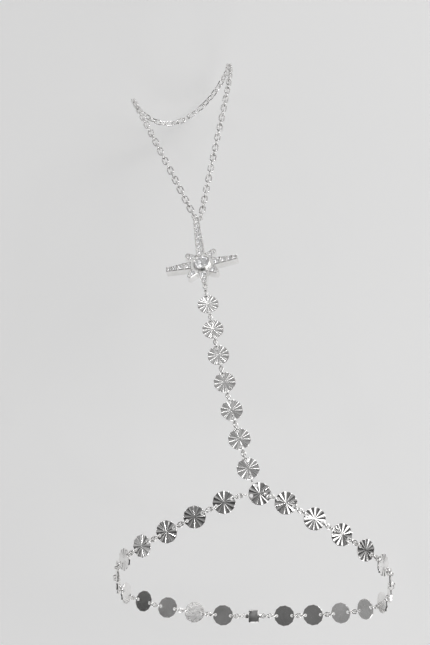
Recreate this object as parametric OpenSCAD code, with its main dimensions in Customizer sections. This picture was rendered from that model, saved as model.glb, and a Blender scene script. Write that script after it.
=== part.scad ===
// Hand chain bracelet in its worn form. Millimetres.
// Origin: middle of the wrist loop. +Y runs along the forearm to the fingers, +Z out of the back of the hand.

/* [Discs] */
// Diameter of a fluted disc over its ridges
disc_d = 4.3; // [4:0.05:4.35]
// Thickness of a disc at its ridges
disc_t = 0.4; // [0.3:0.02:0.44]
// Number of flutes
flutes = 12; // [10:1:20]
// Depth of a flute at the rim
flute_depth = 0.15; // [0.05:0.01:0.18]
// Depth of a disc's middle below its ridges
dish = 0.08; // [0:0.01:0.12]
// Share of the radius that a flute takes off the rim
scallop = 0.035; // [0:0.005:0.08]
// Distance of a hole from the middle of its disc
hole_at = 1.6; // [1.5:0.02:1.64]
// Diameter of a hole
hole_d = 0.64; // [0.5:0.02:0.7]

/* [Round links] */
// Wire of the round links
ring_wire = 0.28; // [0.2:0.02:0.28]
// Distance from disc to disc up the hand
pitch = 6; // [6:0.02:6.2]
// Distance from disc to disc round the wrist
wrist_pitch = 6.08; // [6.08:0.01:6.16]
// Middle radius of the link that joins the junction disc to the first hand disc
short_ring_r = 0.65; // [0.6:0.01:0.7]

/* [Wrist loop] */
// Half width of the loop
wrist_a = 26.8; // [24:0.1:32]
// Half height of the loop
wrist_b = 18; // [15:0.1:24]
// How square the loop is: 2 is an ellipse
squareness = 2.45; // [2:0.05:3]
// Fall towards the elbow per mm round the left side
left_slant = 0.5; // [0:0.01:0.7]
// Fall towards the elbow per mm round the right side
right_slant = 0.58; // [0:0.01:0.7]
// Length of the soft bend beside the junction
soft = 2.5; // [0.5:0.1:5]
// Way round at which the fall begins to fade
fade_from = 36; // [30:1:45]
// Whole fall from the junction to the palm side
fall = 26.5; // [20:0.5:34]
// Wrist discs on each side of the junction
side_discs = 12; // [12:1:12]

/* [Clasp] */
// Width of the clasp
clasp_w = 2.6; // [2:0.1:4]
// Thickness of the clasp's body
clasp_t = 1.3; // [0.8:0.1:2]

/* [Hand run] */
// Hand discs
hand_discs = 7; // [7:1:7]
// Lean of the run towards the little finger beside the junction, degrees
hand_lean = 16.6; // [0:0.1:24]
// Lean lost from one disc to the next, degrees
lean_loss = 1.07; // [0:0.01:2]
// Downward slope beside the junction, degrees
slope_0 = 15.7; // [0:0.1:30]
// Added slope per mm
slope_rate = 0.27; // [0:0.01:0.6]

/* [Star] */
// Lean of the star, degrees
star_lean = 6.4; // [0:0.1:20]
// Downward slope of the star, degrees
star_slope = 29.9; // [0:0.1:60]
// Tilt of the star to the little finger's side, degrees
star_roll = 5.5; // [0:0.1:15]
// Thickness of the casting
star_t = 1.7; // [1:0.1:2.2]
// Length of the side rays
side_ray = 7.45; // [6:0.1:9]
// Length of the ray towards the fingers
top_ray = 12.6; // [9:0.1:14]
// Length of the ray towards the wrist
low_ray = 5.2; // [5:0.05:7]
// Length of the diagonal rays
diagonal_ray = 4.3; // [3.5:0.1:5.5]
// Radius of the corners between rays
valley_r = 2.5; // [2:0.1:3]
// Half width at the tips of the side and lower rays
tip_w = 0.5; // [0.3:0.01:0.6]
// Half width at the end of the top ray
top_w = 0.66; // [0.5:0.01:0.9]
// Half width at the tips of the diagonal rays
diagonal_w = 0.42; // [0.3:0.01:0.6]
// Metal left beside a stone
seat_edge = 0.16; // [0.12:0.01:0.3]
// Radius of the beads that hold the stones
bead_r = 0.17; // [0.12:0.01:0.22]
// Distance of the lower eye from the star's middle
low_eye = 5.65; // [5.5:0.05:7]
// Place of the left top eye, across and along the star
left_eye = [-0.36, 13.65]; // [-2:0.02:14]
// Place of the right top eye, across and along the star
right_eye = [0.96, 12.8]; // [-2:0.02:14]
// Diameter of the holes of the top eyes
top_hole_d = 0.8; // [0.7:0.02:0.9]

/* [Stones] */
// Diameter of the centre stone
centre_d = 2.8; // [2:0.1:3.2]
// Gap between a stone and its seat
stone_gap = 0.11; // [0.1:0.01:0.15]

/* [Finger chain] */
// Wire of the oval links
oval_wire = 0.32; // [0.24:0.02:0.32]
// Inner length of an oval link
oval_long = 1.8; // [1.4:0.02:2.2]
// Inner width of an oval link
oval_wide = 0.86; // [0.7:0.02:1.2]
// Lean of the finger, degrees
finger_lean = 5.4; // [0:0.1:20]
// Mean downward slope of the two arms, degrees
arm_slope = 38; // [20:1:60]
// Length of the arms along the middle of the finger
arm_length = 49.5; // [40:0.5:60]
// Downward slope of the finger at the loop, degrees
finger_slope = 52; // [30:1:80]
// Half width of the loop at the webs
finger_a = 12.6; // [9:0.1:14]
// Depth of the loop under the finger
finger_b = 11; // [8:0.1:14]
// Turn of the webs across the finger, degrees
web_turn = 19.5; // [0:1:30]
// Tilt of the webs to the little finger's side, degrees
web_roll = 8; // [0:1:20]
// Turn of the links round the chain's own line, degrees
link_turn = 20; // [0:1:45]

/* [Hidden] */
$fn = 48;

disc_r = disc_d / 2;
half_pitch = pitch / 2;
// Two links stand in the holes at a joint. Their far sides stop this much short of the joint's middle.
stop_short = 0.21;
hole_from_joint = half_pitch - hole_at;
short_half = hole_at + short_ring_r;
route_step = 0.5;
reach = 0.4;

function unit(v) = v / norm(v);
function flat_to(v, n) = unit(v - (v * n) * n);
function heading(lean, down) = [-sin(lean) * cos(down), cos(lean) * cos(down), -sin(down)];
function lift(lean, down) = [-sin(lean) * sin(down), cos(lean) * sin(down), cos(down)];

// Routes: a list of points becomes rows of [length so far, point].
function step_length(points, i) = i + 1 < len(points) ? norm(points[i + 1] - points[i]) : 0;
function arc_rows(points) = [
    for (i = 0, s = 0; i < len(points); s = s + step_length(points, i), i = i + 1)
        [s, points[i]]
];
function tables(rows) = [for (k = [0:2]) [for (r = rows) [r[0], r[1][k]]]];
function spot(t, s) = [lookup(s, t[0]), lookup(s, t[1]), lookup(s, t[2])];
function total(rows) = rows[len(rows) - 1][0];

// Wrist loop
function loop_x(a) = wrist_a * sign(sin(a)) * pow(abs(sin(a)), 2 / squareness);
function loop_z(a) = wrist_b * sign(cos(a)) * pow(abs(cos(a)), 2 / squareness);
half_rows = arc_rows([for (a = [0:route_step:180]) [loop_x(a), 0, loop_z(a)]]);
half_way = total(half_rows);
way_table = [for (i = [0:len(half_rows) - 1]) [i * route_step, half_rows[i][0]]];
function bend_fall(u, k) = k * (sqrt(u * u + soft * soft) - soft);
function fade_fall(v, y0, k, span) =
    (2 * pow(v, 3) - 3 * v * v + 1) * y0 + (pow(v, 3) - 2 * v * v + v) * span * k
    + (3 * v * v - 2 * pow(v, 3)) * fall;
function side_fall(u, k) =
    u < fade_from ? bend_fall(u, k)
    : fade_fall((u - fade_from) / (half_way - fade_from), bend_fall(fade_from, k), k, half_way - fade_from);
function loop_point(a) =
    [loop_x(a), fall / 2 - side_fall(lookup(abs(a), way_table), a < 0 ? left_slant : right_slant), loop_z(a)];
loop_rows = arc_rows([for (a = [-180:route_step:180]) loop_point(a)]);
loop_tables = tables(loop_rows);
loop_length = total(loop_rows);
junction_s = loop_rows[180 / route_step][0];
function loop_spot(s) = spot(loop_tables, (junction_s + s + 2 * loop_length) % loop_length);
function loop_normal(p) = unit([
    sign(p.x) * pow(abs(p.x) / wrist_a, squareness - 1) / wrist_a, 0,
    sign(p.z) * pow(abs(p.z) / wrist_b, squareness - 1) / wrist_b
]);

// A frame is [middle, direction along the run, normal].
function loop_frame(s) =
    let (p = loop_spot(s), n = loop_normal(p))
    [p, flat_to(loop_spot(s + reach) - loop_spot(s - reach), n), n];
function wrist_frame(side, i) = loop_frame(side * i * wrist_pitch);
clasp_s = loop_length / 2;
clasp_frame = loop_frame(clasp_s);
clasp_hole = clasp_s - side_discs * wrist_pitch - half_pitch - hole_from_joint;

// Junction and hand run
junction = loop_spot(0);
up = [0, 0, 1];
ahead = heading(lean_at(0.5), 0);
function slope_at(i) = slope_0 + slope_rate * (2 * short_half + (i - 1) * pitch);
function lean_at(i) = hand_lean - lean_loss * i;
function hand_dir(i) = heading(lean_at(i), slope_at(i));
function hand_point(i) =
    i == 1 ? junction + short_half * (ahead + hand_dir(1))
    : hand_point(i - 1) + half_pitch * (hand_dir(i - 1) + hand_dir(i));
function hand_frame(i) = [hand_point(i), hand_dir(i), lift(lean_at(i), slope_at(i))];

// Star: its own +Y runs to the fingers.
star_dir = heading(star_lean, star_slope);
flat_up = lift(star_lean, star_slope);
star_side = cross(star_dir, flat_up) * cos(star_roll) + flat_up * sin(star_roll);
star_up = cross(star_side, star_dir);
last_hand = hand_frame(hand_discs);
star_mid = last_hand[0] + half_pitch * last_hand[1] + (hole_from_joint + low_eye) * star_dir;

// Rays are [angle from +X, length, half width at the tip].
rays = [
    [90, top_ray, top_w], [0, side_ray, tip_w], [180, side_ray, tip_w], [270, low_ray, tip_w],
    [45, diagonal_ray, diagonal_w], [135, diagonal_ray, diagonal_w],
    [225, diagonal_ray, diagonal_w], [315, diagonal_ray, diagonal_w]
];
base_y = valley_r * cos(22.5);
base_w = valley_r * sin(22.5);
first_stone = 2.95;
function ray_w(ray, y) = base_w + (y - base_y) * (ray[2] - base_w) / (ray[1] - base_y);
function stone_d(ray, y) = min(1.25, 2 * (ray_w(ray, y) - seat_edge - stone_gap));
between = 0.36;
// Stones along a ray, each as [distance, diameter]. The next one is as wide as the ray is where it stands.
function next_stone(ray, y) =
    y + (stone_d(ray, y) + between) / (1 + (base_w - ray[2]) / (ray[1] - base_y));
function ray_stones(ray, y = first_stone) =
    y + stone_d(ray, y) / 2 + between / 2 > ray[1] ? []
    : concat([[y, stone_d(ray, y)]], ray_stones(ray, next_stone(ray, y)));
// Beads stand in pairs before the first stone of a ray, between its stones and behind the last.
function bead_rows(ray) =
    let (s = ray_stones(ray), n = len(s))
    concat(
        [for (i = [0:n - 1]) s[i][0] - s[i][1] / 2 - (i > 0 ? between / 2 : 0.06)],
        [min(s[n - 1][0] + s[n - 1][1] / 2 + between / 2, ray[1] - bead_r)]
    );

// Finger loop
finger_dir = heading(finger_lean, finger_slope);
finger_up = lift(finger_lean, finger_slope);
finger_side = cross(finger_dir, finger_up);
arm_dir = heading(finger_lean, arm_slope);
web_mid = star_mid + (right_eye.y + 1) * star_dir + arm_length * arm_dir;
rolled_side = finger_side * cos(web_roll) + finger_up * sin(web_roll);
web_side = rolled_side * cos(web_turn) + finger_dir * sin(web_turn);
loop_low = web_mid - finger_b * finger_up + 5 * finger_dir;
function bezier(p, t) =
    pow(1 - t, 3) * p[0] + 3 * t * pow(1 - t, 2) * p[1] + 3 * t * t * (1 - t) * p[2] + pow(t, 3) * p[3];
function top_eye(side) = side < 0 ? left_eye : right_eye;
function eye_spot(side) = star_mid + top_eye(side).x * star_side + top_eye(side).y * star_dir;
function web_spot(side) = web_mid + side * finger_a * web_side;
turn_dir = unit(finger_dir - 0.6 * finger_up);
arm_bow = 12;
// The forefinger's side of the finger is the fuller one.
function fullness(side) = side > 0 ? 2.4 : 0;
function arm_curve(side) =
    let (e = eye_spot(side), w = web_spot(side))
    [e, e + 0.35 * (w - e), w - arm_bow * turn_dir + side * fullness(side) * web_side, w];
low_side = unit(1.5 * web_side - 0.5 * finger_side);
function under_curve(side) =
    [web_spot(side), web_spot(side) + 7.6 * turn_dir, loop_low + side * 8.4 * low_side, loop_low];
function curve_points(c, n) = [for (i = [0:n]) bezier(c, i / n)];
function backwards(l) = [for (i = [len(l) - 1:-1:0]) l[i]];
function without_first(l) = [for (i = [1:len(l) - 1]) l[i]];
half_left = concat(curve_points(arm_curve(-1), 80), without_first(curve_points(under_curve(-1), 50)));
half_right = concat(curve_points(arm_curve(1), 80), without_first(curve_points(under_curve(1), 50)));
finger_rows = arc_rows(concat(half_left, without_first(backwards(half_right))));
finger_tables = tables(finger_rows);
finger_length = total(finger_rows);
link_gap = 0.2;
// The wire of the first and last links stands in the eyes, with its bend this much past the hole's middle.
past_middle = 0.04;
wire_at = (oval_long + oval_wire) / 2 - past_middle;
run_length = finger_length - 2 * wire_at;
// An odd number, so that the first and the last link both stand across their eyes.
links = 1 + 2 * ceil(run_length / (oval_long - link_gap) / 2);
link_pitch = run_length / (links - 1);
half_links = (links - 1) / 2;
function finger_spot(s) = spot(finger_tables, s);
// Links face away from a line inside the loop, and those beside the star stand square to it.
turning_links = 6;
function finger_out(p) =
    let (q = p - web_mid + 4 * finger_up)
    unit(q - (q * arm_dir) * arm_dir);
function turned(i) = min(1, i / turning_links, (links - 1 - i) / turning_links);
function finger_frame(i) =
    let (s = wire_at + (i - 0.5) * link_pitch)
    let (a = finger_spot(s), b = finger_spot(s + link_pitch), t = unit(b - a), p = (a + b) / 2, w = turned(i))
    [p, t, flat_to((1 - w) * star_up + w * finger_out(p), t)];

module place(frame) {
    x = frame[1];
    z = frame[2];
    y = cross(z, x);
    multmatrix([
        [x.x, y.x, z.x, frame[0].x],
        [x.y, y.y, z.y, frame[0].y],
        [x.z, y.z, z.z, frame[0].z],
        [0, 0, 0, 1]
    ])
        children();
}

// A shallow dish with ridges that rise from the middle to the rim and flutes that deepen between them.
module fluted_blank() {
    n = 2 * flutes;
    turn = 360 / n;
    low_r = disc_r * (1 - scallop);
    function top(i) = disc_t / 2 - (i % 2 == 0 ? 0 : flute_depth);
    function rim_point(i, z) =
        let (r = i % 2 == 0 ? disc_r : low_r, a = (i + 0.5) * turn)
        [r * cos(a), r * sin(a), z];
    points = concat(
        [[0, 0, disc_t / 2 - dish]],
        [for (i = [0:n - 1]) rim_point(i, top(i))],
        [for (i = [0:n - 1]) rim_point(i, -disc_t / 2)]
    );
    faces = concat(
        [for (i = [0:n - 1]) [0, 1 + (i + 1) % n, 1 + i]],
        [for (i = [0:n - 1]) [1 + i, 1 + (i + 1) % n, 1 + n + (i + 1) % n, 1 + n + i]],
        [[for (i = [0:n - 1]) 1 + n + i]]
    );
    polyhedron(points, faces);
}

module disc(holes) {
    difference() {
        fluted_blank();
        for (a = holes)
            rotate(a)
                translate([hole_at, 0, -1])
                    cylinder(d = hole_d, h = 2, $fn = 24);
    }
}

module ring(r) {
    rotate_extrude()
        translate([r, 0])
            circle(d = ring_wire, $fn = 16);
}

// One link in a hole: it stands across the disc and reaches nearly to the joint's middle.
module hole_link(hole, normal, middle) {
    v = unit(middle - hole);
    r = (norm(middle - hole) - stop_short) / 2;
    place([hole + r * v, v, unit(cross(v, normal))])
        ring(r);
}

// Three links between two holes. Each side is [hole, direction to the other side, normal].
// The middle link's wire stands halfway between a disc's rim and the far side of the link in its hole.
module joint(a, b) {
    middle = (a[0] + b[0] + hole_from_joint * (a[1] + b[1])) / 2;
    x = unit(b[0] - a[0]);
    rim = norm(middle - a[0]) - (disc_r - hole_at);
    hole_link(a[0], a[2], middle);
    hole_link(b[0], b[2], middle);
    place([middle, x, flat_to(a[2] + b[2], x)])
        ring((rim + stop_short + ring_wire / 2) / 2);
}

// The hole of a frame's disc on its forward or backward side.
function hole(frame, side, at = hole_at) = [frame[0] + side * at * frame[1], side * frame[1], frame[2]];

module side_joints(side) {
    to_first = flat_to(wrist_frame(side, 1)[0] - junction, up);
    joint(hole([junction, to_first, up], 1), hole(wrist_frame(side, 1), -side));
    for (i = [1:side_discs - 1])
        joint(hole(wrist_frame(side, i), side), hole(wrist_frame(side, i + 1), -side));
    joint(hole(wrist_frame(side, side_discs), side), hole(clasp_frame, -side, clasp_hole));
}

module junction_disc() {
    left = flat_to(wrist_frame(-1, 1)[0] - junction, up);
    right = flat_to(wrist_frame(1, 1)[0] - junction, up);
    color("silver")
        place([junction, [1, 0, 0], up])
            disc([for (d = [left, right, ahead]) atan2(d.y, d.x)]);
}

module hand_disc(i) {
    color("silver")
        place(hand_frame(i))
            disc([0, 180]);
}

module wrist_disc(side, i) {
    color("silver")
        place(wrist_frame(side, i))
            disc([0, 180]);
}

module hand_links() {
    color("silver") {
        place([junction + short_half * ahead, ahead, cross(ahead, up)])
            ring(short_ring_r);
        for (i = [1:hand_discs - 1])
            joint(hole(hand_frame(i), 1), hole(hand_frame(i + 1), -1));
        joint(hole(last_hand, 1), hole([star_mid, star_dir, star_up], -1, low_eye));
    }
}

module left_links() {
    color("silver")
        side_joints(-1);
}

module right_links() {
    color("silver")
        side_joints(1);
}

// Closing piece: a plain body with a thin tab and a hole at each end.
module clasp_bar() {
    body_half = clasp_hole - 0.95;
    color("silver")
        place(clasp_frame)
            difference() {
                union() {
                    translate([-body_half, -clasp_w / 2, -clasp_t / 2])
                        cube([2 * body_half, clasp_w, clasp_t]);
                    for (side = [-1, 1])
                        translate([side * clasp_hole, 0, -disc_t / 2])
                            cylinder(r = disc_r - hole_at, h = disc_t);
                    translate([-clasp_hole, -(disc_r - hole_at), -disc_t / 2])
                        cube([2 * clasp_hole, 2 * (disc_r - hole_at), disc_t]);
                }
                for (side = [-1, 1])
                    translate([side * clasp_hole, 0, -1])
                        cylinder(d = hole_d, h = 2, $fn = 24);
            }
}

function ray_tip(ray, side) =
    let (c = cos(ray[0]), s = sin(ray[0]))
    [ray[1] * c - side * ray[2] * s, ray[1] * s + side * ray[2] * c];
function valley(a) = [valley_r * cos(a), valley_r * sin(a)];

module star_plan() {
    for (ray = rays)
        polygon([
            [0, 0], valley(ray[0] - 22.5), ray_tip(ray, -1), ray_tip(ray, 1), valley(ray[0] + 22.5)
        ]);
}

eye_rim = 0.22;
module eye(at, d) {
    translate([at.x, at.y, -disc_t / 2])
        cylinder(d = d + 2 * eye_rim, h = disc_t);
}

module eye_hole(at, d) {
    translate([at.x, at.y, -star_t])
        cylinder(d = d, h = 2 * star_t, $fn = 24);
}

// A flat neck between a ray and its eye, sunk this far into the ray.
neck_w = 0.6;
neck_in = 0.3;
module neck(x, from, to) {
    translate([x - neck_w / 2, from, -disc_t / 2])
        cube([neck_w, to - from, disc_t]);
}

collar_r = centre_d / 2 + 0.34;
collar_h = 0.4;
centre_beads = 10;
function seat_depth(d) = 0.43 * d + stone_gap;

module star_body() {
    translate([0, 0, -star_t / 2])
        linear_extrude(star_t)
            star_plan();
    translate([0, 0, -star_t / 2])
        cylinder(r = collar_r, h = star_t + collar_h);
    eye([0, -low_eye], hole_d);
    neck(0, -low_eye, neck_in - low_ray);
    for (side = [-1, 1])
        eye(top_eye(side), top_hole_d);
    neck(left_eye.x, top_ray - neck_in, left_eye.y);
}

module star_beads() {
    for (ray = rays)
        rotate(ray[0])
            for (y = bead_rows(ray), side = [-1, 1])
                translate([y, side * (ray_w(ray, y) - bead_r), star_t / 2])
                    sphere(bead_r);
    for (i = [0:centre_beads - 1])
        rotate(360 * i / centre_beads)
            translate([centre_d / 2 + stone_gap + bead_r / 2, 0, star_t / 2 + collar_h])
                sphere(bead_r * 1.2);
}

module star_cuts() {
    translate([0, 0, star_t / 2 + collar_h - seat_depth(centre_d)])
        cylinder(d = centre_d + 2 * stone_gap, h = 2 * star_t);
    for (ray = rays)
        for (s = ray_stones(ray))
            rotate(ray[0])
                translate([s[0], 0, star_t / 2 - seat_depth(s[1])])
                    cylinder(d = s[1] + 2 * stone_gap, h = 2 * star_t);
    eye_hole([0, -low_eye], hole_d);
    for (side = [-1, 1])
        eye_hole(top_eye(side), top_hole_d);
}

module star_setting() {
    color("silver")
        place([star_mid, star_side, star_up])
            difference() {
                union() {
                    star_body();
                    star_beads();
                }
                star_cuts();
            }
}

// A cut stone: flat table, crown and pavilion, eight sides.
module stone(d) {
    n = 8;
    r = d / 2;
    levels = [[0.56 * r, 0.32 * r], [r, 0]];
    points = concat(
        [for (l = levels) for (i = [0:n - 1]) [l[0] * cos(360 * i / n), l[0] * sin(360 * i / n), l[1]]],
        [[0, 0, -0.86 * r]]
    );
    faces = concat(
        [[for (i = [n - 1:-1:0]) i]],
        [for (i = [0:n - 1]) [i, (i + 1) % n, n + (i + 1) % n, n + i]],
        [for (i = [0:n - 1]) [n + i, n + (i + 1) % n, 2 * n]]
    );
    polyhedron(points, faces);
}

module centre_stone() {
    color("white")
        place([star_mid, star_side, star_up])
            translate([0, 0, star_t / 2 + collar_h])
                stone(centre_d);
}

module star_stones() {
    color("white")
        place([star_mid, star_side, star_up])
            for (ray = rays)
                for (s = ray_stones(ray))
                    rotate(ray[0])
                        translate([s[0], 0, star_t / 2])
                            stone(s[1]);
}

oval_steps = 4;
wire_sides = 5;
function oval_line() =
    let (r = (oval_wide + oval_wire) / 2, half = (oval_long - oval_wide) / 2)
    [for (end = [1, -1]) for (i = [0:oval_steps])
        let (a = 180 * i / oval_steps - 90)
        [end * (half + r * cos(a)), end * r * sin(a), end > 0 ? a : a + 180]];

module oval_link() {
    line = oval_line();
    n = len(line);
    points = [for (l = line) for (j = [0:wire_sides - 1])
        let (b = 360 * j / wire_sides, o = oval_wire / 2 * cos(b))
        [l[0] + o * cos(l[2]), l[1] + o * sin(l[2]), oval_wire / 2 * sin(b)]];
    faces = [for (i = [0:n - 1]) for (j = [0:wire_sides - 1])
        let (i2 = (i + 1) % n, j2 = (j + 1) % wire_sides)
        [i * wire_sides + j, i * wire_sides + j2, i2 * wire_sides + j2, i2 * wire_sides + j]];
    polyhedron(points, faces);
}

module finger_links(from, to) {
    color("silver")
        for (i = [from:to])
            place(finger_frame(i))
                rotate([90 + 90 * (i % 2) + link_turn * turned(i), 0, 0])
                    oval_link();
}

module finger_chain_left() {
    finger_links(0, half_links - 1);
}

module finger_chain_right() {
    finger_links(half_links, links - 1);
}

junction_disc();
hand_disc(1);  // hand_disc_1
hand_disc(2);  // hand_disc_2
hand_disc(3);  // hand_disc_3
hand_disc(4);  // hand_disc_4
hand_disc(5);  // hand_disc_5
hand_disc(6);  // hand_disc_6
hand_disc(7);  // hand_disc_7
wrist_disc(-1, 1);  // left_disc_1
wrist_disc(-1, 2);  // left_disc_2
wrist_disc(-1, 3);  // left_disc_3
wrist_disc(-1, 4);  // left_disc_4
wrist_disc(-1, 5);  // left_disc_5
wrist_disc(-1, 6);  // left_disc_6
wrist_disc(-1, 7);  // left_disc_7
wrist_disc(-1, 8);  // left_disc_8
wrist_disc(-1, 9);  // left_disc_9
wrist_disc(-1, 10);  // left_disc_10
wrist_disc(-1, 11);  // left_disc_11
wrist_disc(-1, 12);  // left_disc_12
wrist_disc(1, 1);  // right_disc_1
wrist_disc(1, 2);  // right_disc_2
wrist_disc(1, 3);  // right_disc_3
wrist_disc(1, 4);  // right_disc_4
wrist_disc(1, 5);  // right_disc_5
wrist_disc(1, 6);  // right_disc_6
wrist_disc(1, 7);  // right_disc_7
wrist_disc(1, 8);  // right_disc_8
wrist_disc(1, 9);  // right_disc_9
wrist_disc(1, 10);  // right_disc_10
wrist_disc(1, 11);  // right_disc_11
wrist_disc(1, 12);  // right_disc_12
hand_links();
left_links();
right_links();
clasp_bar();
star_setting();
centre_stone();
star_stones();
finger_chain_left();
finger_chain_right();
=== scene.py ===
import math
import bmesh
import bpy
import numpy as np
from mathutils import Matrix, Vector


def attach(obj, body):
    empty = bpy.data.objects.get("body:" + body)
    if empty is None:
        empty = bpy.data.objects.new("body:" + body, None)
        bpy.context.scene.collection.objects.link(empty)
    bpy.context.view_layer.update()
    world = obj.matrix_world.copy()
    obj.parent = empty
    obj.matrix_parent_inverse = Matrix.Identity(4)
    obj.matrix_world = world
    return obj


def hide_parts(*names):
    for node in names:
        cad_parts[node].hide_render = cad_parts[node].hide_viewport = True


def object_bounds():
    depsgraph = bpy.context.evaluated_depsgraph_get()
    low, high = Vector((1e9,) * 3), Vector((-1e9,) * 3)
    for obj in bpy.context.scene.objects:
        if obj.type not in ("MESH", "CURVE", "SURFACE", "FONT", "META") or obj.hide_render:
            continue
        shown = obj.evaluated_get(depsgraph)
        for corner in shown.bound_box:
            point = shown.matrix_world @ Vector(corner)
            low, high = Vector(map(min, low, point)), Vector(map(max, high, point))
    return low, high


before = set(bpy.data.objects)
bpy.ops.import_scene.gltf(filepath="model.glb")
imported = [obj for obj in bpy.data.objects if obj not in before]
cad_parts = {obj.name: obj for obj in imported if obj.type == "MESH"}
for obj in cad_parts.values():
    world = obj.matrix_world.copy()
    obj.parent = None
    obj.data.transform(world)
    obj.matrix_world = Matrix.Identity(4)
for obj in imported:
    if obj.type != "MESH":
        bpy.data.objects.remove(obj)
cad_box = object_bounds()

MM = 0.001
TURN = 2 * math.pi
UP = (0, 0, 1)
SIDES = ("left", "right")
SIDE_DISCS = 12
HAND_DISCS = 7

# Creases in degrees: edges that bend more are shaded sharp
FACETED = 1
FLUTED = 20
SMOOTH = 180

# Discs and round links, in millimetres as in the solids
DISC_R = 2.15
DISC_T = 0.4
FLUTES = 12
FLUTE_DEPTH = 0.12
FLUTE_CURVE = 1.1  # the power of the radius by which a flute deepens outwards
DISH = 0.07  # how far the middle of the face lies below the rim
SCALLOP = 0.035  # the share of the radius by which a flute draws the rim in
RIM_ROUND = 0.035
HOLE_AT = 1.6
HOLE_R = 0.32
WIRE_R = 0.14
NEXT_LINK = 1.1  # links whose middles are nearer than this hang in each other
MIDDLE_SQUEEZE = 0.62  # how narrow the middle link of a joint is for its length

# Oval links: the wire, and the hole's length and width
OVAL_WIRE_R = 0.16
OVAL_LONG = 1.8
OVAL_WIDE = 0.86

# Eyes, and flat pieces as thick as a disc
EYE_RIM = 0.22
TOP_HOLE_R = 0.4
FLAT_ROUND = 0.08

# Clasp
CLASP_RIM = EYE_RIM + 0.01
CLASP_ROUND = 0.22
CLASP_NECK = 0.95  # from the middle of an eye to the end of the body
TAB_HALF_WIDTH = 0.42

# Star setting. A ray is its turn from X in degrees, its length and half the width of its blunt tip.
STAR_T = 1.7
VALLEY_R = 2.5
RAYS = [
    (90, 12.6, 0.66), (0, 7.45, 0.5), (180, 7.45, 0.5), (270, 5.2, 0.5),
    (45, 4.3, 0.42), (135, 4.3, 0.42), (225, 4.3, 0.42), (315, 4.3, 0.42),
]
VALLEY_TURN = 180 / len(RAYS)  # from a ray to the valley beside it, in degrees
CORNER_ROUND = 0.19
CHAMFER = 0.08
RAIL_WIDTH = 0.06
FLOOR_DEPTH = 0.09
FLOOR_SLOPE = 0.03
SEAT_PLAY = 0.03
BEAD_R = 0.17
BEAD_HIGH = 1.2  # how tall the beads and the claws are for their width
CLAW_HIGH = 1.25
CENTRE_R = 1.4
CENTRE_PLAY = 0.04
COLLAR_R = 1.74
COLLAR_H = 0.4
CLAWS = 10
CLAW_R = 0.2
LOW_EYE = (0, -5.65)
TOP_EYES = ((-0.36, 13.65), (0.96, 12.8))
NECK_HALF_WIDTH = 0.3
LOW_NECK_END = -4.9  # along Y, inside the plate, as the next one is
TOP_NECK_END = 12.3


# Forms: a form is (points as an array of rows, faces as lists of row numbers)
def joined(forms):
    """Several forms as one."""
    points, faces, start = [], [], 0
    for p, f in forms:
        points.append(np.asarray(p, float))
        faces += [[i + start for i in face] for face in f]
        start += len(p)
    return np.vstack(points), faces


def placed(form, middle, x, z):
    """The form turned so that its X and Z run along x and z, and moved to middle."""
    turn = np.column_stack([x, np.cross(z, x), z])
    return form[0] @ turn.T + np.asarray(middle), form[1]


def moved(form, *by):
    return form[0] + np.asarray(by, float), form[1]


def turns_of(steps):
    """The angles of steps points round a circle."""
    return np.linspace(0, TURN, steps, endpoint=False)


def grid_faces(rows, columns, closed_rows=False):
    """Quads of a grid whose columns close on themselves."""
    last = rows if closed_rows else rows - 1
    return [
        [i * columns + j, i * columns + (j + 1) % columns,
         (i + 1) % rows * columns + (j + 1) % columns, (i + 1) % rows * columns + j]
        for i in range(last) for j in range(columns)
    ]


def tube(line, outward, wide, high, sides):
    """A closed tube round a flat closed line. Its section is an ellipse: wide along outward, high along Z."""
    points = [
        p + wide * math.cos(a) * o + np.array([0, 0, high * math.sin(a)])
        for p, o in zip(line, outward) for a in turns_of(sides)
    ]
    return np.array(points), [list(reversed(f)) for f in grid_faces(len(line), sides, closed_rows=True)]


def ring(radius, wide, high, steps=32, squeeze=1.0):
    """A wire ring in the XY plane. squeeze makes it an oval, narrower along Y."""
    turns = turns_of(steps)
    line = np.column_stack([radius * np.cos(turns), squeeze * radius * np.sin(turns), 0 * turns])
    outward = np.column_stack([squeeze * np.cos(turns), np.sin(turns), 0 * turns])
    outward /= np.linalg.norm(outward, axis=1)[:, None]
    return tube(line, outward, wide, high, sides=12)


def ball(radius, high):
    """A ball with its poles on Z, high times as tall as it is wide."""
    rows, columns = 8, 14
    rings = np.linspace(0, math.pi, rows + 1)[1:-1]
    points = [[0, 0, radius * high], [0, 0, -radius * high]]
    points += [
        [radius * math.sin(r) * math.cos(a), radius * math.sin(r) * math.sin(a), radius * high * math.cos(r)]
        for r in rings for a in turns_of(columns)
    ]
    faces = [[i + 2 for i in reversed(f)] for f in grid_faces(len(rings), columns)]
    last = 2 + (len(rings) - 1) * columns
    for j in range(columns):
        k = (j + 1) % columns
        faces += [[0, 2 + j, 2 + k], [1, last + k, last + j]]
    return np.array(points), faces


def revolved(profile, sides):
    """A closed solid turned round Z from rows of (radius, height), from the top down."""
    points = [[r * math.cos(a), r * math.sin(a), z] for r, z in profile for a in turns_of(sides)]
    faces = [list(reversed(f)) for f in grid_faces(len(profile), sides)]
    faces.append(list(range(sides)))
    faces.append(list(reversed(range(len(points) - sides, len(points)))))
    return np.array(points), faces


def box_form(a, b, c):
    """A box round the origin, with its half sizes."""
    points = np.array([[x, y, z] for x in (-a, a) for y in (-b, b) for z in (-c, c)], float)
    faces = [[0, 1, 3, 2], [4, 6, 7, 5], [0, 4, 5, 1], [2, 3, 7, 6], [0, 2, 6, 4], [1, 5, 7, 3]]
    return points, faces


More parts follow.
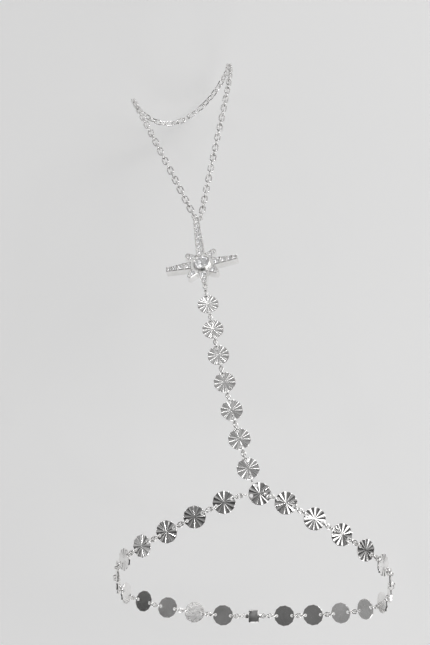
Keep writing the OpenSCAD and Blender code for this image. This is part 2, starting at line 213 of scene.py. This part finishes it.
def form_of(bm):
    """The points and faces of a bmesh, which is freed."""
    bm.verts.index_update()
    form = np.array([v.co[:] for v in bm.verts]), [[v.index for v in f.verts] for f in bm.faces]
    bm.free()
    return form


def in_order(form):
    """The form with its faces in one fixed order, where an inset stores them in another order on each run."""
    return form[0], sorted(form[1], key=sorted)


def bevelled(form, width, steps=2):
    """The form with its sharp edges rounded."""
    sharp = math.radians(30)
    bm = bmesh.new()
    verts = [bm.verts.new(p) for p in form[0].tolist()]
    for f in form[1]:
        bm.faces.new([verts[i] for i in f])
    bmesh.ops.recalc_face_normals(bm, faces=bm.faces)
    edges = [e for e in bm.edges if e.is_manifold and e.calc_face_angle() > sharp]
    bmesh.ops.bevel(
        bm, geom=edges, offset=width, segments=steps, profile=0.5, affect="EDGES", clamp_overlap=True)
    return form_of(bm)


def cut(form, tool):
    """The form with the tool's solids taken out, and without the faces of no area that this leaves."""
    things = []
    for points, faces in (form, tool):
        mesh = bpy.data.meshes.new("cut")
        mesh.from_pydata(points.tolist(), [], faces)
        thing = bpy.data.objects.new("cut", mesh)
        bpy.context.scene.collection.objects.link(thing)
        things.append(thing)
    modifier = things[0].modifiers.new("cut", "BOOLEAN")
    modifier.object = things[1]
    modifier.operation = "DIFFERENCE"
    modifier.solver = "EXACT"
    bpy.context.view_layer.update()
    result = bpy.data.meshes.new_from_object(things[0].evaluated_get(bpy.context.evaluated_depsgraph_get()))
    for thing in things:
        bpy.data.objects.remove(thing)
    bm = bmesh.new()
    bm.from_mesh(result)
    bmesh.ops.dissolve_degenerate(bm, dist=0.001, edges=bm.edges)
    return form_of(bm)


# The frame: where each solid of a node lies
def loose_parts(node):
    """The points of each separate solid of a CAD node, in millimetres."""
    bm = bmesh.new()
    bm.from_mesh(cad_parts[node].data)
    bmesh.ops.remove_doubles(bm, verts=bm.verts, dist=1e-7)
    seen, parts = set(), []
    for first in bm.verts:
        if first in seen:
            continue
        seen.add(first)
        queue, part = [first], []
        while queue:
            v = queue.pop()
            part.append(v.co[:])
            for e in v.link_edges:
                w = e.other_vert(v)
                if w not in seen:
                    seen.add(w)
                    queue.append(w)
        parts.append(np.array(part) / MM)
    bm.free()
    return parts


def main_axes(points):
    """The middle of some points, and their axes from the longest spread to the shortest."""
    middle = points.mean(0)
    axes = np.linalg.eigh(np.cov((points - middle).T))[1]
    return middle, axes[:, 2], axes[:, 1], axes[:, 0]


def facing(v, towards):
    """v, or its opposite where that points more towards the given way."""
    return v if np.dot(v, towards) > 0 else -v


# Objects
def piece(name, form, material, nodes, crease=SMOOTH):
    """A piece of the bracelet, made from a form in place of some CAD nodes."""
    mesh = bpy.data.meshes.new(name)
    mesh.from_pydata((form[0] * MM).tolist(), [], form[1])
    mesh.update()
    mesh.materials.append(material)
    mesh.shade_smooth()
    mesh.set_sharp_from_angle(angle=math.radians(crease))
    thing = bpy.data.objects.new(name, mesh)
    bpy.context.scene.collection.objects.link(thing)
    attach(thing, "root")
    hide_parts(*nodes)


# Materials
def node_material(name):
    material = bpy.data.materials.new(name)
    material.use_nodes = True
    nodes = material.node_tree.nodes
    return material, nodes, material.node_tree.links, nodes["Principled BSDF"]


def noise(nodes, links, scale, detail, space="Object"):
    place = nodes.new("ShaderNodeTexCoord")
    texture = nodes.new("ShaderNodeTexNoise")
    texture.inputs["Scale"].default_value = scale
    texture.inputs["Detail"].default_value = detail
    links.new(place.outputs[space], texture.inputs["Vector"])
    return texture.outputs["Fac"]


def grey(value, warm=0.0):
    return (value * (1 + warm), value, value * (1 - warm), 1)


def ramp(nodes, links, source, *stops):
    """A colour ramp through stops of (place, colour)."""
    node = nodes.new("ShaderNodeValToRGB")
    elements = node.color_ramp.elements
    while len(elements) < len(stops):
        elements.new(0.5)
    for element, (place, colour) in zip(elements, stops):
        element.position = place
        element.color = colour
    links.new(source, node.inputs["Fac"])
    return node.outputs["Color"]


def grey_ramp(nodes, links, source, *stops):
    """A ramp through stops of (place, how pale the grey is)."""
    return ramp(nodes, links, source, *[(place, grey(value)) for place, value in stops])


def unit_range(nodes, links, source):
    """A value from -1 to 1 moved to the range of a ramp, 0 to 1."""
    node = nodes.new("ShaderNodeMapRange")
    node.inputs["From Min"].default_value = -1
    links.new(source, node.inputs["Value"])
    return node.outputs["Result"]


def mixed(nodes, links, kind, factor, first, second):
    """Two colours mixed. Each input is a value or another node's output."""
    node = nodes.new("ShaderNodeMix")
    node.data_type = "RGBA"
    node.blend_type = kind
    for name, value in (("Factor", factor), ("A", first), ("B", second)):
        socket = next(i for i in node.inputs if i.name == name and i.enabled)
        if hasattr(value, "node"):
            links.new(value, socket)
        else:
            socket.default_value = value
    return next(o for o in node.outputs if o.enabled)


def silver(name, roughness, dull):
    """Polished silver with fine wear. dull darkens it in broad soft patches."""
    material, nodes, links, shader = node_material(name)
    shader.inputs["Metallic"].default_value = 1.0
    patches = noise(nodes, links, scale=350, detail=2)
    tint = ramp(nodes, links, patches, (0.3, grey(0.86 - dull, 0.012)), (0.7, grey(0.95, 0.006)))
    links.new(tint, shader.inputs["Base Color"])
    wear = noise(nodes, links, scale=2600, detail=4)
    gloss = grey_ramp(nodes, links, wear, (0.3, roughness * 0.7), (0.75, roughness * 1.4))
    links.new(gloss, shader.inputs["Roughness"])
    bump = nodes.new("ShaderNodeBump")
    bump.inputs["Strength"].default_value = 0.12
    bump.inputs["Distance"].default_value = 0.00003
    links.new(noise(nodes, links, scale=5200, detail=2), bump.inputs["Height"])
    links.new(bump.outputs["Normal"], shader.inputs["Normal"])
    return material


def clear_stone():
    """A clear cut stone, with a trace of glow for the light that its facets pass on."""
    material, nodes, links, shader = node_material("clear_stone")
    shader.inputs["Transmission Weight"].default_value = 0.92
    shader.inputs["Emission Color"].default_value = (1, 1, 1, 1)
    shader.inputs["Emission Strength"].default_value = 0.05
    shader.inputs["IOR"].default_value = 2.15
    shader.inputs["Roughness"].default_value = 0.0
    patches = noise(nodes, links, scale=500, detail=1)
    tint = ramp(nodes, links, patches, (0.3, (0.93, 0.94, 0.96, 1)), (0.7, (1, 0.99, 0.985, 1)))
    links.new(tint, shader.inputs["Base Color"])
    return material


# Discs
def hole_drill():
    """What a disc's hole takes away: straight in the middle and wider towards both faces."""
    flare, reach = 0.05, 0.3
    mouth, throat, back = DISC_T / 2 - 0.08, DISC_T / 2 - 0.16, -0.14
    profile = [
        (HOLE_R + 3 * flare, reach), (HOLE_R + flare, mouth), (HOLE_R, throat), (HOLE_R, back),
        (HOLE_R + 2 * flare, -reach),
    ]
    return revolved(profile, sides=28)


def fluted_disc(holes):
    """One disc: ridges from the middle to the rim, flutes that deepen outwards, a rounded rim and holes."""
    pitch = TURN / FLUTES
    first_ridge = 0.25
    across = np.array([0, 0.04, 0.12, 0.21, 0.3, 0.4, 0.5, 0.6, 0.7, 0.79, 0.88, 0.96])
    angles = np.concatenate([(k + first_ridge + across) * pitch for k in range(FLUTES)])
    depths = np.tile(1 - (1 - 2 * across) ** 2, FLUTES)
    n = len(angles)

    # Each row is its share of the radius, how far it lies inside the face, and whether it is on the back
    rows = [(share, 0, False) for share in (0.12, 0.3, 0.45, 0.6, 0.72, 0.83, 0.92)]
    rows += [
        (1 - 2.2 * RIM_ROUND / DISC_R, 0, False), (1 - 0.8 * RIM_ROUND / DISC_R, RIM_ROUND * 0.35, False),
        (1, RIM_ROUND * 1.2, False), (1, RIM_ROUND, True), (1 - RIM_ROUND / DISC_R, 0, True),
    ]
    points = []
    for share, inside, on_back in rows:
        radius = DISC_R * share * (1 - SCALLOP * depths * share ** 4)
        if on_back:
            z = np.full(n, -DISC_T / 2 + inside)
        else:
            z = DISC_T / 2 - DISH * (1 - share ** 2) - FLUTE_DEPTH * depths * share ** FLUTE_CURVE - inside
        points.append(np.column_stack([radius * np.cos(angles), radius * np.sin(angles), z]))
    points.append([[0, 0, DISC_T / 2 - DISH], [0, 0, -DISC_T / 2]])
    points = np.vstack(points)

    faces = [list(reversed(f)) for f in grid_faces(len(rows), n)]
    top, low, last = len(points) - 2, len(points) - 1, (len(rows) - 1) * n
    for j in range(n):
        faces.append([top, j, (j + 1) % n])
        faces.append([low, last + (j + 1) % n, last + j])
    drills = [moved(hole_drill(), HOLE_AT * math.cos(a), HOLE_AT * math.sin(a), 0) for a in holes]
    return cut((points, faces), joined(drills))


def disc_frame(node, outward=None):
    """The middle, hole direction and outward normal of a disc, from the points of its node."""
    points = loose_parts(node)[0]
    middle, x, _, z = main_axes(points)
    z = facing(z, outward if outward is not None else (middle[0], 0, middle[2]))
    height = (points - middle) @ z
    back = points[height - height.min() < 0.05 * DISC_T]
    from_middle = np.linalg.norm(back - back.mean(0), axis=1)
    rim = back[from_middle > 0.9 * DISC_R]
    return rim.mean(0) + z * DISC_T / 2, x, z


def make_discs(metal):
    template = fluted_disc((0, math.pi))
    names = [(f"hand_disc_{i}", UP) for i in range(1, HAND_DISCS + 1)]
    names += [(f"{side}_disc_{i}", None) for side in SIDES for i in range(1, SIDE_DISCS + 1)]
    for name, outward in names:
        middle, x, z = disc_frame(name, outward)
        piece(f"{name}_fluted", placed(template, middle, x, z), metal, [name], FLUTED)
    middle = disc_frame("junction_disc", UP)[0]
    ways = [disc_frame(n, UP)[0] - middle for n in ("left_disc_1", "right_disc_1", "hand_disc_1")]
    form = placed(fluted_disc([math.atan2(w[1], w[0]) for w in ways]), middle, (1, 0, 0), UP)
    piece("junction_disc_fluted", form, metal, ["junction_disc"], FLUTED)


# Links
def ring_frame(points):
    """The middle, normal and middle radius of a ring."""
    middle, _, _, z = main_axes(points)
    spread = points - middle
    outer = np.linalg.norm(spread - np.outer(spread @ z, z), axis=1).max()
    return middle, z, outer - WIRE_R


def make_round_links(metal):
    """Links in the discs' holes are round. The one between them at each joint is an oval."""
    any_way = (0.3, 0.5, 0.8)
    for node in ("hand_links", "left_links", "right_links"):
        rings = [ring_frame(points) for points in loose_parts(node)]
        middles = np.array([r[0] for r in rings])
        forms = []
        for middle, z, radius in rings:
            apart = np.linalg.norm(middles - middle, axis=1)
            near = middles[(apart < NEXT_LINK) & (apart > 0)]
            between = len(near) == 2
            x = near[0] - near[1] if between else np.cross(z, any_way)
            x = x - (x @ z) * z
            form = ring(radius, WIRE_R, WIRE_R, squeeze=MIDDLE_SQUEEZE if between else 1.0)
            forms.append(placed(form, middle, x / np.linalg.norm(x), z))
        piece(f"{node}_round", joined(forms), metal, [node])


def oval_link():
    """A link of two straight sides and two half circles, which lies in the XY plane."""
    radius = OVAL_WIDE / 2 + OVAL_WIRE_R
    half = (OVAL_LONG - OVAL_WIDE) / 2
    bend = np.linspace(-math.pi / 2, math.pi / 2, 11)
    line, outward = [], []
    for side in (1, -1):
        for a in bend:
            way = np.array([side * math.cos(a), side * math.sin(a), 0])
            line.append(np.array([side * half, 0, 0]) + radius * way)
            outward.append(way)
    return tube(line, outward, OVAL_WIRE_R, OVAL_WIRE_R, sides=10)


def make_finger_chain(metal):
    template = oval_link()
    for side in SIDES:
        node = f"finger_chain_{side}"
        forms = []
        for points in loose_parts(node):
            middle, x, _, z = main_axes(points)
            forms.append(placed(template, middle, x, z))
        piece(f"{node}_oval", joined(forms), metal, [node])


# Clasp
def eye_ring(hole_r, rim):
    """A flat ring, as thick as a disc."""
    return ring(hole_r + rim / 2, rim / 2, DISC_T / 2, steps=28)


def make_clasp(metal):
    """A rounded bar with a flat tab through it that ends in two eyes."""
    points = loose_parts("clasp_bar")[0]
    middle, x, y, z = main_axes(points)
    axes = np.column_stack([x, y, z])
    local = (points - middle) @ axes
    half = (local.max(0) - local.min(0)) / 2
    centre = middle + axes @ ((local.max(0) + local.min(0)) / 2)
    z = facing(z, (0, 0, -1))
    eye_at = half[0] - HOLE_R - CLASP_RIM
    body = bevelled(box_form(eye_at - CLASP_NECK, half[1], half[2]), CLASP_ROUND, steps=4)
    tab = bevelled(box_form(eye_at - HOLE_R - CLASP_RIM / 2, TAB_HALF_WIDTH, DISC_T / 2), FLAT_ROUND)
    eyes = [moved(eye_ring(HOLE_R, CLASP_RIM), side * eye_at, 0, 0) for side in (-1, 1)]
    piece("clasp_bar_round", placed(joined([body, tab] + eyes), centre, x, z), metal, ["clasp_bar"])


# Stones
def brilliant(radius):
    """A round cut stone: table, star, kite and girdle facets above, girdle and main facets below."""
    crown, edge, deep = 0.32, 0.03, 0.86
    table_r, star_r, low_r = 0.56, 0.77, 0.42
    step = math.pi / 8
    kite = (crown - edge) / (1 - table_r)
    star_z = crown - (star_r * math.cos(step) - table_r) * kite
    low_z = -deep + low_r * math.cos(step) * (deep - edge)

    def circle(r, z, start, count):
        turns = start + np.arange(count) * TURN / count
        return [[r * math.cos(a), r * math.sin(a), z] for a in turns]

    points = circle(table_r, crown, 0, 8) + circle(star_r, star_z, step, 8)
    points += circle(1, edge, 0, 16) + circle(1, -edge, 0, 16)
    points += circle(low_r, low_z, step, 8) + [[0, 0, -deep]]
    table, star, top, bottom, low, point = 0, 8, 16, 32, 48, 56
    faces = [list(range(8))]
    for i in range(8):
        k, back, a, b, c = (i + 1) % 8, (i - 1) % 8, 2 * i, 2 * i + 1, (2 * i + 2) % 16
        faces += [
            [table + i, star + i, table + k],
            [table + i, star + back, top + a, star + i],
            [star + i, top + a, top + b], [star + i, top + b, top + c],
            [top + a, bottom + a, bottom + b, top + b], [top + b, bottom + b, bottom + c, top + c],
            [low + i, bottom + b, bottom + a], [low + i, bottom + c, bottom + b],
            [point, low + i, bottom + a, low + back],
        ]
    return np.array(points) * radius, faces


def girdle_middle(points):
    """The middle of a stone's girdle, whose points are the farthest from the stone's own middle."""
    far = np.linalg.norm(points - points.mean(0), axis=1)
    return points[far > 0.985 * far.max()].mean(0)


# Star
def star_frame():
    """The star's middle, its X and Z, and its small stones as (x, y, radius)."""
    parts = loose_parts("star_stones")
    _, y, _, z = main_axes(np.array([girdle_middle(p) for p in parts]))
    z = facing(z, UP)
    y = facing(y, (0, 1, 0))
    x = np.cross(y, z)
    middle = girdle_middle(loose_parts("centre_stone")[0]) - z * (STAR_T / 2 + COLLAR_H)
    stones = []
    for p in parts:
        local = (p - middle) @ np.column_stack([x, y])
        spot = local.mean(0)
        stones.append((spot[0], spot[1], np.linalg.norm(local - spot, axis=1).max()))
    return middle, x, z, stones


def ray_tip(ray, side):
    """One corner of a ray's blunt tip."""
    turn, length, half = ray
    c, s = math.cos(math.radians(turn)), math.sin(math.radians(turn))
    return length * c - side * half * s, length * s + side * half * c


def star_outline():
    points = []
    for ray in sorted(RAYS):
        turn = math.radians(ray[0] - VALLEY_TURN)
        points.append((VALLEY_R * math.cos(turn), VALLEY_R * math.sin(turn)))
        points += [ray_tip(ray, -1), ray_tip(ray, 1)]
    return points


def star_block():
    """The star's plate: upright walls, a chamfer and a rail along each edge, and a sunk floor inside them."""
    outline = star_outline()
    bm = bmesh.new()
    wall_top = STAR_T / 2 - CHAMFER
    rings = [[bm.verts.new((x, y, z)) for x, y in outline] for z in (-STAR_T / 2, wall_top)]
    bm.faces.new(rings[0])
    bm.faces.new(rings[1])
    for i in range(len(outline)):
        k = (i + 1) % len(outline)
        bm.faces.new([rings[0][i], rings[0][k], rings[1][k], rings[1][i]])
    bmesh.ops.recalc_face_normals(bm, faces=bm.faces)
    upright = [e for e in bm.edges if abs(e.verts[0].co.z - e.verts[1].co.z) > STAR_T / 2]
    bmesh.ops.bevel(
        bm, geom=upright, offset=CORNER_ROUND, segments=3, profile=0.5, affect="EDGES", clamp_overlap=True)
    roof = [f for f in bm.faces if f.calc_center_median().z > wall_top - 0.01]
    for inwards, upwards in ((CHAMFER, CHAMFER), (RAIL_WIDTH, 0), (FLOOR_SLOPE, -FLOOR_DEPTH)):
        bmesh.ops.inset_region(bm, faces=roof, thickness=inwards, depth=upwards)
    bmesh.ops.recalc_face_normals(bm, faces=bm.faces)
    return in_order(form_of(bm))


def stone_seats(stones):
    """The hollows for the stones: a straight bore down to the girdle, and a cone below it."""
    seats = []
    for x, y, r in stones:
        bore, above, girdle = r + SEAT_PLAY, 0.6, -0.02
        cone, tip = (0.35 * r, -0.8 * r - 0.08), (0.05, -0.8 * r - 0.1)
        seats.append(moved(revolved([(bore, above), (bore, girdle), cone, tip], sides=24), x, y, STAR_T / 2))
    bore, above, girdle = CENTRE_R + CENTRE_PLAY, 1.5, -0.05
    cone, tip = (0.4, -1.15), (0.1, -1.2)
    centre = revolved([(bore, above), (bore, girdle), cone, tip], sides=40)
    return joined(seats + [moved(centre, 0, 0, STAR_T / 2 + COLLAR_H)])


def ray_half_width(ray, y):
    """Half the width of a ray at the distance y from the star's middle."""
    _, length, half = ray
    base_y = VALLEY_R * math.cos(math.radians(VALLEY_TURN))
    base_w = VALLEY_R * math.sin(math.radians(VALLEY_TURN))
    return base_w + (y - base_y) * (half - base_w) / (length - base_y)


def ray_beads(ray, stones):
    """Beads in pairs beside the stones of a ray, before the first, between them and behind the last."""
    before, behind, above = 0.06, 0.18, 0.05
    turn = math.radians(ray[0])
    way = np.array([math.cos(turn), math.sin(turn)])
    across = np.array([-way[1], way[0]])
    on_ray = [s for s in stones if abs(np.dot(across, s[:2])) < 0.1 and np.dot(way, s[:2]) > 1]
    rows = sorted((np.dot(way, s[:2]), s[2]) for s in on_ray)
    places = [rows[0][0] - rows[0][1] - before]
    places += [(a[0] + a[1] + b[0] - b[1]) / 2 for a, b in zip(rows, rows[1:])]
    places.append(min(rows[-1][0] + rows[-1][1] + behind, ray[1] - BEAD_R))
    forms = []
    for y in places:
        for side in (-1, 1):
            spot = y * way + side * (ray_half_width(ray, y) - BEAD_R) * across
            forms.append(moved(ball(BEAD_R * 1.05, BEAD_HIGH), spot[0], spot[1], STAR_T / 2 + above))
    return forms


def collar_wall():
    """The wall of the centre stone's raised cup, which widens a little towards the plate."""
    top, bottom, inside = COLLAR_H - 0.04, -0.2, 1
    profile = [(COLLAR_R, top), (COLLAR_R + 0.02, 0.1), (COLLAR_R + 0.06, bottom), (inside, bottom)]
    return moved(revolved(profile, sides=64), 0, 0, STAR_T / 2)


def collar_trim():
    """The cup's rounded lip, and a bead at each claw."""
    top = STAR_T / 2 + COLLAR_H
    wall = COLLAR_R - CENTRE_R
    lip = ring(CENTRE_R + wall / 2 + 0.02, wide=wall / 2, high=0.12, steps=64)
    forms = [moved(lip, 0, 0, top - 0.04)]
    at, above = CENTRE_R + 0.19, 0.05
    for turn in turns_of(CLAWS):
        forms.append(moved(ball(CLAW_R, CLAW_HIGH), at * math.cos(turn), at * math.sin(turn), top + above))
    return forms


def star_eyes():
    """The three eyes, and a neck to the plate for the lower one and the first of the upper two."""
    overlap = 0.05
    forms = []
    for (x, y), hole in ((LOW_EYE, HOLE_R), (TOP_EYES[0], TOP_HOLE_R), (TOP_EYES[1], TOP_HOLE_R)):
        forms.append(moved(eye_ring(hole, EYE_RIM), x, y, 0))
    necks = [
        (LOW_EYE[0], LOW_EYE[1] + HOLE_R + overlap, LOW_NECK_END),
        (TOP_EYES[0][0], TOP_NECK_END, TOP_EYES[0][1] - TOP_HOLE_R - overlap),
    ]
    for x, y0, y1 in necks:
        neck = bevelled(box_form(NECK_HALF_WIDTH, (y1 - y0) / 2, DISC_T / 2), FLAT_ROUND)
        forms.append(moved(neck, x, (y0 + y1) / 2, 0))
    return forms


def make_star(metal, stone):
    middle, x, z, stones = star_frame()
    seats = stone_seats(stones)
    beads = [b for ray in RAYS for b in ray_beads(ray, stones)]
    plate = placed(joined([cut(star_block(), seats), cut(collar_wall(), seats)]), middle, x, z)
    rounded = placed(joined(beads + collar_trim() + star_eyes()), middle, x, z)
    small = placed(joined([moved(brilliant(r), sx, sy, STAR_T / 2) for sx, sy, r in stones]), middle, x, z)
    centre = placed(moved(brilliant(CENTRE_R), 0, 0, STAR_T / 2 + COLLAR_H), middle, x, z)
    piece("star_plate", plate, metal, ["star_setting"], FACETED)
    piece("star_beads", rounded, metal, ["star_setting"])
    piece("star_stones_cut", small, stone, ["star_stones"], FACETED)
    piece("centre_stone_cut", centre, stone, ["centre_stone"], FACETED)


# Camera: its focal length in pixels of the photo's height, and its turn down from +Y and about its own axis
PHOTO_H = 645
FOCAL_PX = 1205.5
SENSOR = 24
CAMERA_AT = Vector((-7.004, 16.780, 241.816)) * MM
CAMERA_DOWN = math.radians(82.89)
CAMERA_ROLL = math.radians(-0.663)


def make_camera():
    data = bpy.data.cameras.new("camera")
    data.sensor_fit = "VERTICAL"
    data.sensor_height = SENSOR
    data.lens = FOCAL_PX / PHOTO_H * SENSOR
    data.clip_start = 0.01
    data.clip_end = 100
    look = Vector((0, math.cos(CAMERA_DOWN), -math.sin(CAMERA_DOWN)))
    across = Vector((1, 0, 0))
    up = across.cross(look)
    c, s = math.cos(CAMERA_ROLL), math.sin(CAMERA_ROLL)
    x, y = c * across + s * up, c * up - s * across
    camera = bpy.data.objects.new("camera", data)
    camera.matrix_world = Matrix.Translation(CAMERA_AT) @ Matrix((x, y, -look)).transposed().to_4x4()
    bpy.context.scene.collection.objects.link(camera)
    bpy.context.scene.camera = camera


# Floor and light, in metres and watts
FLOOR_HALF = 30.0
FLOOR_BELOW = 0.003
LIGHT_TARGET = Vector((-0.005, 0.04, 0))
LIGHT_AWAY = 0.7
SPARKS = ((30, 40), (-62, 52), (140, 46), (186, 31))


def make_floor():
    """A pale matt floor just below the finger chain, with a little glow of its own."""
    material, nodes, links, shader = node_material("pale_floor")
    patches = noise(nodes, links, scale=6, detail=2)
    pale = ramp(nodes, links, patches, (0, grey(0.8, 0.002)), (1, grey(0.84, 0.002)))
    links.new(pale, shader.inputs["Base Color"])
    links.new(pale, shader.inputs["Emission Color"])
    shader.inputs["Emission Strength"].default_value = 0.22
    shader.inputs["Roughness"].default_value = 0.9
    shader.inputs["Specular IOR Level"].default_value = 0.2
    floor_z = cad_box[0][2] - FLOOR_BELOW
    corners = [(FLOOR_HALF * x, FLOOR_HALF * y, floor_z) for x, y in ((-1, -1), (1, -1), (1, 1), (-1, 1))]
    mesh = bpy.data.meshes.new("floor")
    mesh.from_pydata(corners, [], [(0, 1, 2, 3)])
    mesh.materials.append(material)
    floor = bpy.data.objects.new("floor", mesh)
    bpy.context.scene.collection.objects.link(floor)


def soft_box(name, azimuth, height, size, power):
    """A rectangular light over the object, placed by two angles in degrees. Azimuth 0 is +X, 90 is +Y."""
    data = bpy.data.lights.new(name, "AREA")
    data.shape = "RECTANGLE"
    data.size, data.size_y = size
    data.energy = power
    a, h = math.radians(azimuth), math.radians(height)
    way = Vector((math.cos(a) * math.cos(h), math.sin(a) * math.cos(h), math.sin(h)))
    light = bpy.data.objects.new(name, data)
    light.location = LIGHT_TARGET + LIGHT_AWAY * way
    light.rotation_euler = (-way).to_track_quat("-Z", "Y").to_euler()
    bpy.context.scene.collection.objects.link(light)


def make_lights():
    """Four soft boxes, and small ones that put sparks on the links and the stones."""
    soft_box("key", 11, 57, (0.34, 0.34), 0.75)
    soft_box("upper_left", 103, 27, (0.27, 0.06), 0.19)
    soft_box("right", 45, 24, (0.3, 0.3), 1.4)
    soft_box("front", -80, 26, (0.36, 0.25), 1.4)
    for k, (azimuth, height) in enumerate(SPARKS):
        soft_box(f"spark_{k + 1}", azimuth, height, (0.05, 0.05), 0.1)


def make_sky():
    """Soft greys all round for the silver to mirror, from left to right and from front to back."""
    world = bpy.data.worlds.new("studio")
    bpy.context.scene.world = world
    world.use_nodes = True
    nodes, links = world.node_tree.nodes, world.node_tree.links
    background = nodes["Background"]
    place = nodes.new("ShaderNodeTexCoord")
    split = nodes.new("ShaderNodeSeparateXYZ")
    links.new(place.outputs["Generated"], split.inputs["Vector"])
    rightwards = unit_range(nodes, links, split.outputs["X"])
    forwards = unit_range(nodes, links, split.outputs["Y"])
    across = grey_ramp(
        nodes, links, rightwards, (0.02, 0.4), (0.14, 0.33), (0.3, 0.17), (0.44, 0.2),
        (0.54, 0.35), (0.75, 0.35), (0.88, 0.25), (0.97, 0.14))
    ahead = grey_ramp(nodes, links, forwards, (0.5, 0), (0.72, 1))
    depth = grey_ramp(
        nodes, links, forwards, (0.2, 0.15), (0.4, 0.5), (0.5, 1), (0.87, 1), (0.91, 0.75), (0.95, 1))
    patches = grey_ramp(nodes, links, noise(nodes, links, 4, 1, "Generated"), (0.38, 0.5), (0.62, 1.3))
    sky = mixed(nodes, links, "MIX", ahead, across, grey(0.42))
    sky = mixed(nodes, links, "MULTIPLY", 1, sky, depth)
    sky = mixed(nodes, links, "MULTIPLY", 1, sky, patches)
    links.new(sky, background.inputs["Color"])
    background.inputs["Strength"].default_value = 1.0


bpy.context.scene.view_settings.view_transform = "Standard"
make_camera()
make_floor()
make_lights()
make_sky()
disc_silver = silver("disc_silver", 0.14, 0.05)
link_silver = silver("link_silver", 0.1, 0.12)
star_silver = silver("star_silver", 0.16, 0.06)
make_discs(disc_silver)
make_round_links(link_silver)
make_finger_chain(link_silver)
make_clasp(link_silver)
make_star(star_silver, clear_stone())
